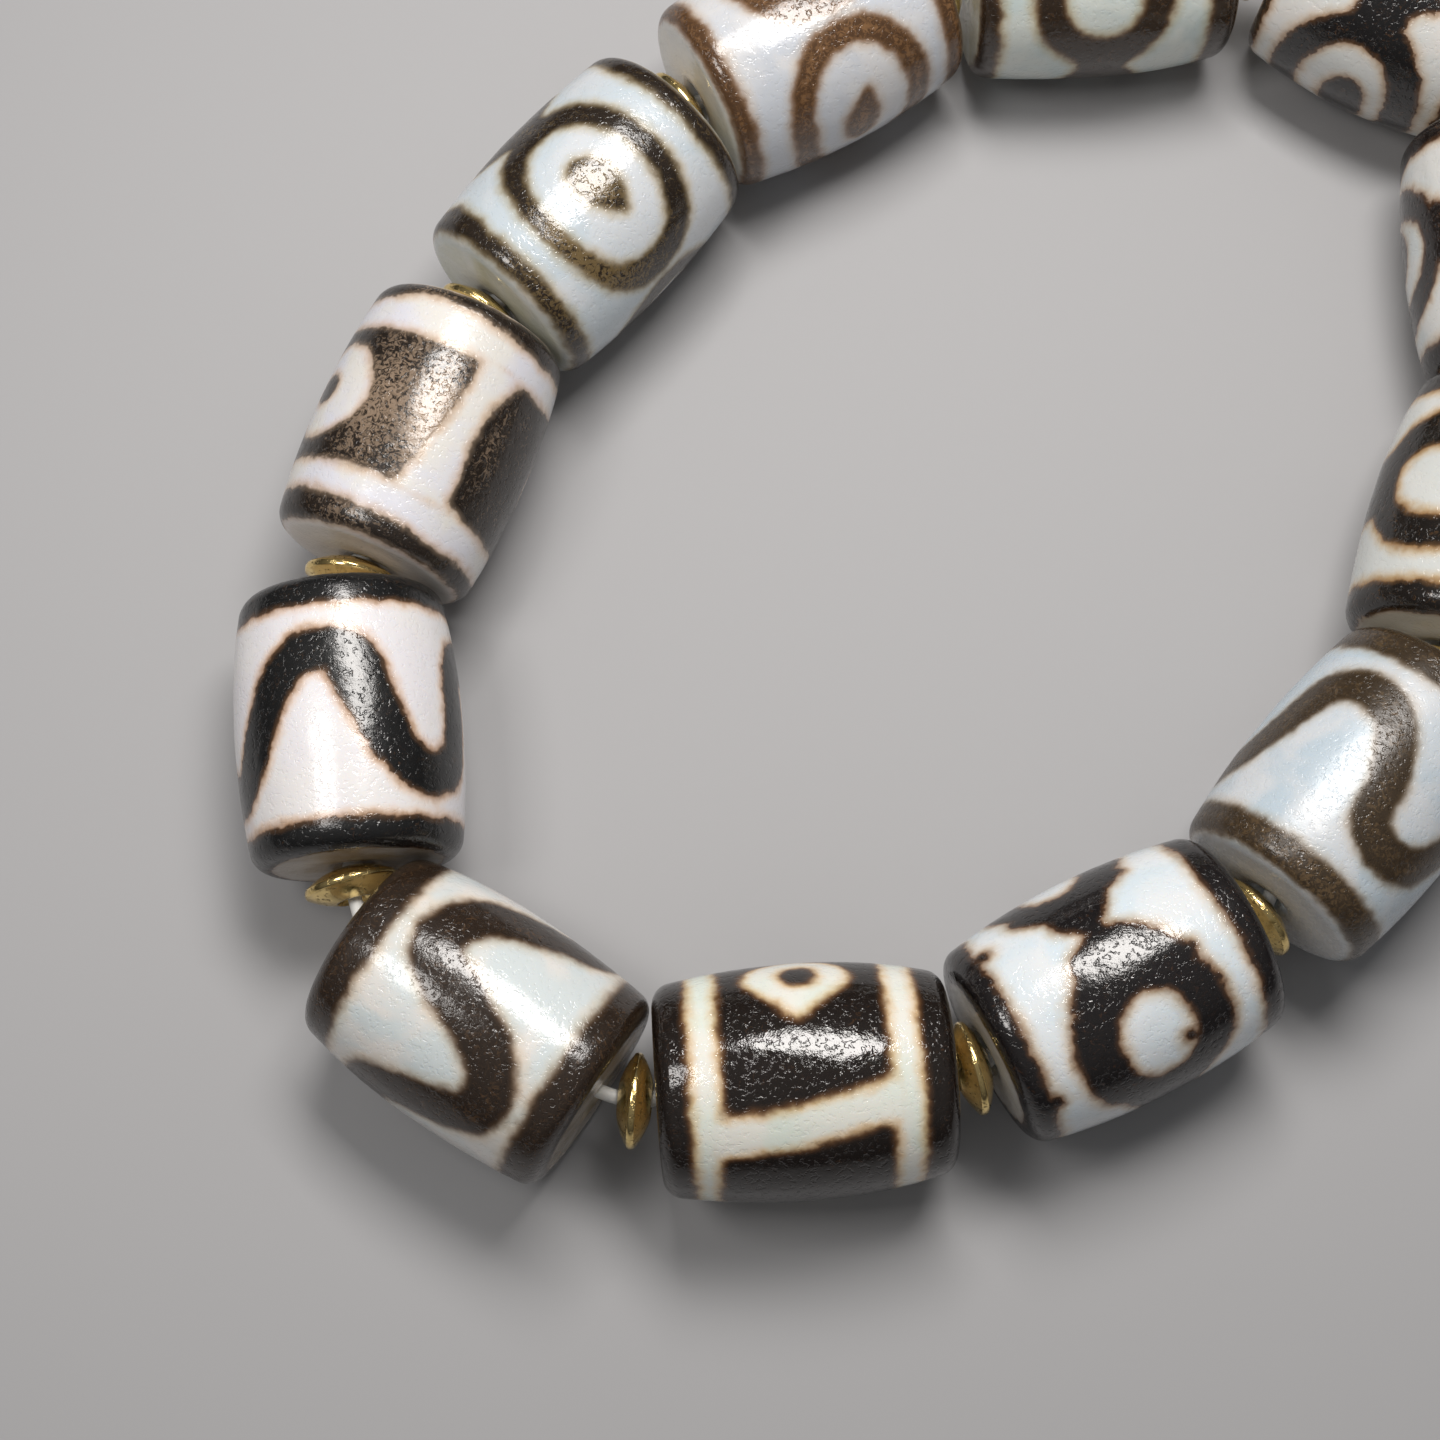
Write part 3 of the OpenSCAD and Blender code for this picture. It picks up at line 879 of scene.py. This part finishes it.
def length_setting(name, description, default, low, high):
    """A length setting, given in millimetres."""
    return bpy.props.FloatProperty(name=name, description=description, default=default * MM, min=low * MM,
                                   max=high * MM, precision=5, subtype="DISTANCE", unit="LENGTH")


def colour_setting(name, description, default):
    return bpy.props.FloatVectorProperty(name=name, description=description, default=default, min=0,
                                         max=1, subtype="COLOR")


class BraceletBeads(bpy.types.PropertyGroup):
    rim: length_setting("Rim", "Radius of the rounded rim at a bead's ends", 1.2, 0.8, 1.4)
    bore: length_setting("Bore", "Diameter of the hole along a bead", 2, 1.8, 2.4)
    mouth: length_setting("Mouth", "Depth of the countersink at the ends of the hole", 0.5, 0.2, 0.6)
    unevenness: length_setting("Unevenness", "Depth of the shallow dips in the ground surface", 0.05, 0, 0.1)


class BraceletSpacers(bpy.types.PropertyGroup):
    width: length_setting("Diameter", "Diameter of a spacer", 5.3, 4.6, 5.5)
    thickness: length_setting("Thickness", "Thickness of a spacer at its middle", 2.1, 1.6, 2.1)
    edge: length_setting("Edge", "Width of the rounded edge round a spacer", 0.3, 0.2, 0.7)
    bore: length_setting("Bore", "Diameter of the hole through a spacer", 2, 1.7, 2)
    metal: colour_setting("Metal", "Colour of the gilt metal", (0.86, 0.65, 0.28))


class BraceletElastic(bpy.types.PropertyGroup):
    width: length_setting("Diameter", "Diameter of the elastic thread", 0.8, 0.5, 0.8)


class BraceletStage(bpy.types.PropertyGroup):
    floor: colour_setting("Floor", "Colour of the plain floor", (0.43, 0.43, 0.44))
    key_power: bpy.props.FloatProperty(
        name="Main light", description="Power of the main soft light", default=0.28, min=0, unit="POWER")
    side_power: bpy.props.FloatProperty(
        name="Side light", description="Power of the weaker soft light on the left", default=0.07,
        min=0, unit="POWER")
    sky: bpy.props.FloatProperty(
        name="Fill", description="Strength of the even light from all round", default=0.19, min=0)


# Operators

class BRACELET_OT_beads(bpy.types.Operator):
    """Build the twelve agate beads with their etched patterns"""
    bl_idname = "bracelet.beads"
    bl_label = "Agate beads"

    def execute(self, context):
        sizes = context.scene.bracelet_beads
        group = etched_agate_group()
        for number, bead in enumerate(BEADS, 1):
            self.build(number, bead, sizes, group)
        return {"FINISHED"}

    def build(self, number, bead, sizes, group):
        bm = lathe(bead_profile(bead, sizes), BEAD_STEPS)
        local = np.array([v.co for v in bm.verts])
        along = local[:, 0]
        radius = np.hypot(local[:, 1], local[:, 2])
        around = np.degrees(np.arctan2(-local[:, 1], local[:, 2]))
        depth, face = self.surface(bead, along, radius, around, sizes.rim / MM)
        self.weather(bm, radius, number, sizes.unevenness / MM)
        matrix = placed(middle(bead), bead["place"][2])
        material = bead_material(number, bead, group)
        piece = into_object(bm, "bead_%d_stone" % number, matrix, material, "bead_%d" % number)
        # Worn spots, and the spots of painted highlight, which the material reads as wear
        wear_and_highlight = wear_and_highlight_places(bead, along, around)
        for name, values in (("etch_depth", depth), ("end_face", face), ("wear_and_highlight", wear_and_highlight)):
            attribute = piece.data.attributes.new(name, "FLOAT", "POINT")
            attribute.data.foreach_set("value", values.astype(np.float32))

    def surface(self, bead, along, radius, around, rim):
        """How deep each place lies in the dark stone, and how far it belongs to an end face."""
        half = bead["size"][0] / 2
        rim_start = half - rim
        on_rim = np.abs(along) > rim_start
        rim_turn = np.arcsin(np.clip((np.abs(along) - rim_start) / rim, 0, 1))
        depth = pattern_depth(bead, along, around) + bead["swell"]
        depth = np.where(radius < CORE_R, -FAR, depth)

        # The pattern stops where it reaches to round the rim, and so do the end faces
        first_end = along < 0
        past = (rim_turn - np.where(first_end, *bead["reach"])) * rim
        flat = np.abs(along) > half - ON_FACE
        face_r = np.where(first_end, radius[flat & first_end].max(), radius[flat & ~first_end].max())
        past += np.where(flat | (radius < CORE_R), face_r - radius, 0)
        depth = np.where(on_rim, np.minimum(depth, -past), depth)
        face = np.clip((rim_turn - FACE_STARTS) / (FACE_FULL - FACE_STARTS), 0, 1) * on_rim
        return depth, face

    def weather(self, bm, radius, number, dip):
        """Lowers the outer surface in shallow dips, as hand grinding leaves it."""
        for vert, r in zip(bm.verts, radius):
            if r < CORE_R:
                continue
            place = vert.co + Vector((DIP_SHIFT * number, 0, 0))
            low = 0
            for scale, share in (WIDE_DIPS, SMALL_DIPS):
                low += share * (0.5 + 0.5 * noise.noise(place * scale))
            vert.co -= vert.normal * dip * low


class BRACELET_OT_spacers(bpy.types.Operator):
    """Build the twelve metal spacers"""
    bl_idname = "bracelet.spacers"
    bl_label = "Metal spacers"

    def execute(self, context):
        sizes = context.scene.bracelet_spacers
        material = spacer_material(sizes)
        for number in range(1, len(SPACERS) + 1):
            heading, place = spacer_pose(number)
            bm = lathe(self.profile(sizes), SPACER_STEPS)
            into_object(bm, "spacer_%d_lens" % number, placed(place, heading), material,
                        "spacer_%d" % number)
        return {"FINISHED"}

    def profile(self, sizes):
        """Two domes that meet in a rounded edge, and the bore."""
        outer = sizes.width / MM / 2
        half = sizes.thickness / MM / 2
        edge = sizes.edge / MM / 2
        bore = sizes.bore / MM / 2
        rise = half - edge
        dome_r = (outer ** 2 + rise ** 2) / (2 * rise)
        centre = half - dome_r
        rounding = edge * EDGE_ROUNDING
        last_r = outer - rounding
        side = []
        for k in range(DOME_STEPS + 1):
            r = bore + (last_r - bore) * k / DOME_STEPS
            side.append((centre + sqrt(dome_r ** 2 - r * r), r))
        top = side[-1][0]
        for k in range(1, EDGE_STEPS + 1):
            turn = pi / 2 * k / EDGE_STEPS
            side.append((top * cos(turn), last_r + rounding * sin(turn)))
        return side + [(-along, radius) for along, radius in reversed(side[:-1])]


class BRACELET_OT_elastic(bpy.types.Operator):
    """Build the closed loop of elastic thread"""
    bl_idname = "bracelet.elastic"
    bl_label = "Elastic thread"

    def execute(self, context):
        sizes = context.scene.bracelet_elastic
        route = self.route()
        curve = bpy.data.curves.new("elastic_route", "CURVE")
        curve.dimensions = "3D"
        curve.bevel_depth = sizes.width / 2
        curve.bevel_resolution = 4
        spline = curve.splines.new("POLY")
        spline.points.add(len(route) - 1)
        for point, place in zip(spline.points, route):
            point.co = (*(place * MM), 1)
        spline.use_cyclic_u = True
        carrier = bpy.data.objects.new("elastic_route", curve)
        mesh = bpy.data.meshes.new_from_object(carrier)
        bpy.data.objects.remove(carrier)
        bpy.data.curves.remove(curve)
        bm = bmesh.new()
        bm.from_mesh(mesh)
        bpy.data.meshes.remove(mesh)
        for face in bm.faces:
            face.smooth = True
        piece = into_object(bm, "elastic_thread", Matrix.Identity(4), elastic_material(),
                            "elastic")
        if not piece.data.polygons:
            raise RuntimeError("the elastic thread has no faces")
        return {"FINISHED"}

    def route(self):
        """Places along the thread, in millimetres: straight inside the beads, bent between them."""
        places = []
        for number in range(1, len(BEADS) + 1):
            before, after = BEADS[number - 2], BEADS[number - 1]
            in_way, out_way = ahead(before["place"][2]), ahead(after["place"][2])
            heading, centre = spacer_pose(number)
            across = ahead(heading)
            inward = SPACERS[number - 1][3]
            leave = bead_end(before, 1) - BEND_INSET * in_way - inward * outside(before["place"][2])
            centre -= SPACER_SHARE * inward * outside(heading)
            arrive = bead_end(after, -1) + BEND_INSET * out_way - inward * outside(after["place"][2])
            places += self.bend(leave, in_way, centre - HALF_STRAIGHT * across, across)
            places += self.bend(centre + HALF_STRAIGHT * across, across, arrive, out_way)
        return places

    def bend(self, p, p_way, q, q_way):
        """A smooth curve from p to q that leaves and arrives in the given ways."""
        pull = BEND_PULL * (q - p).length
        rows = []
        for k in range(BEND_STEPS + 1):
            s = k / BEND_STEPS
            rows.append((2 * s ** 3 - 3 * s * s + 1) * p + (s ** 3 - 2 * s * s + s) * pull * p_way
                        + (3 * s * s - 2 * s ** 3) * q + (s ** 3 - s * s) * pull * q_way)
        return rows


class BRACELET_OT_stage(bpy.types.Operator):
    """Set the floor, the lights and the camera"""
    bl_idname = "bracelet.stage"
    bl_label = "Stage"

    def execute(self, context):
        look = context.scene.bracelet_stage
        self.floor(look)
        self.area_light("main_light", *MAIN_LIGHT, look.key_power)
        self.area_light("side_light", *SIDE_LIGHT, look.side_power)
        world = bpy.data.worlds.new("even_light")
        world.use_nodes = True
        self.sky(world.node_tree, look.sky)
        context.scene.world = world
        self.camera(context.scene)
        context.scene.view_settings.view_transform = "Standard"
        return {"FINISHED"}

    def sky(self, tree, strength):
        """Even light that is brightest overhead, as under a white ceiling."""
        n = Nodes(tree)
        way = n.add("ShaderNodeTexCoord", (-800, 0))
        parts = n.add("ShaderNodeSeparateXYZ", (-600, 0))
        n.give(parts, {0: way.outputs["Generated"]})
        shade = n.ramp(parts.outputs["Z"], -0.1, 0.9)
        tint = n.mix(shade, (0.20, 0.20, 0.22), (1.0, 1.0, 1.0))
        n.give(tree.nodes["Background"], {"Color": tint, "Strength": strength})

    def floor(self, look):
        bm = bmesh.new()
        bmesh.ops.create_grid(bm, x_segments=1, y_segments=1, size=1.5)
        mesh = bpy.data.meshes.new("floor")
        bm.to_mesh(mesh)
        bm.free()
        floor = bpy.data.objects.new("floor", mesh)
        bpy.context.scene.collection.objects.link(floor)
        material, n, shader = plain_material("floor_plain")
        n.give(shader, {"Base Color": (*look.floor, 1), "Roughness": 0.8})
        mesh.materials.append(material)

    def area_light(self, name, place, target, size, spin, power):
        place, target = Vector(place) * MM, Vector(target) * MM
        lamp = bpy.data.lights.new(name, "AREA")
        lamp.shape = "RECTANGLE"
        lamp.size, lamp.size_y = size
        lamp.energy = power
        lamp.color = LAMP_COLOUR
        light = bpy.data.objects.new(name, lamp)
        light.location = place
        aim = (target - place).to_track_quat("-Z", "Y")
        light.rotation_euler = (aim @ Quaternion((0, 0, 1), radians(spin))).to_euler()
        bpy.context.scene.collection.objects.link(light)

    def camera(self, scene):
        lens = bpy.data.cameras.new("camera")
        lens.sensor_width = 36
        lens.lens = CAMERA_LENS
        lens.clip_start = 0.01
        lens.clip_end = 10
        eye = bpy.data.objects.new("camera", lens)
        rise = radians(CAMERA_RISE)
        x, y = CAMERA_TARGET
        eye.location = (x, y - CAMERA_AWAY * cos(rise), CAMERA_AWAY * sin(rise))
        eye.rotation_euler = (pi / 2 - rise, 0, 0)
        scene.collection.objects.link(eye)
        scene.camera = eye


class BRACELET_PT_panel(bpy.types.Panel):
    bl_label = "Agate bead bracelet"
    bl_space_type = "VIEW_3D"
    bl_region_type = "UI"
    bl_category = "Bracelet"

    def draw(self, context):
        for group in SETTINGS:
            settings = getattr(context.scene, group)
            box = self.layout.box()
            for name in settings.bl_rna.properties.keys():
                if name not in ("rna_type", "name"):
                    box.prop(settings, name)
            box.operator(group.replace("_", "."))


SETTINGS = {
    "bracelet_beads": BraceletBeads,
    "bracelet_spacers": BraceletSpacers,
    "bracelet_elastic": BraceletElastic,
    "bracelet_stage": BraceletStage,
}
CLASSES = (
    *SETTINGS.values(),
    BRACELET_OT_beads,
    BRACELET_OT_spacers,
    BRACELET_OT_elastic,
    BRACELET_OT_stage,
    BRACELET_PT_panel,
)


def register():
    for cls in CLASSES:
        bpy.utils.register_class(cls)
    for name, settings in SETTINGS.items():
        setattr(bpy.types.Scene, name, bpy.props.PointerProperty(type=settings))


def unregister():
    for name in SETTINGS:
        delattr(bpy.types.Scene, name)
    for cls in reversed(CLASSES):
        bpy.utils.unregister_class(cls)


def main():
    register()
    bpy.ops.bracelet.stage()
    bpy.ops.bracelet.beads()
    bpy.ops.bracelet.spacers()
    bpy.ops.bracelet.elastic()


if __name__ == "__main__":
    main()
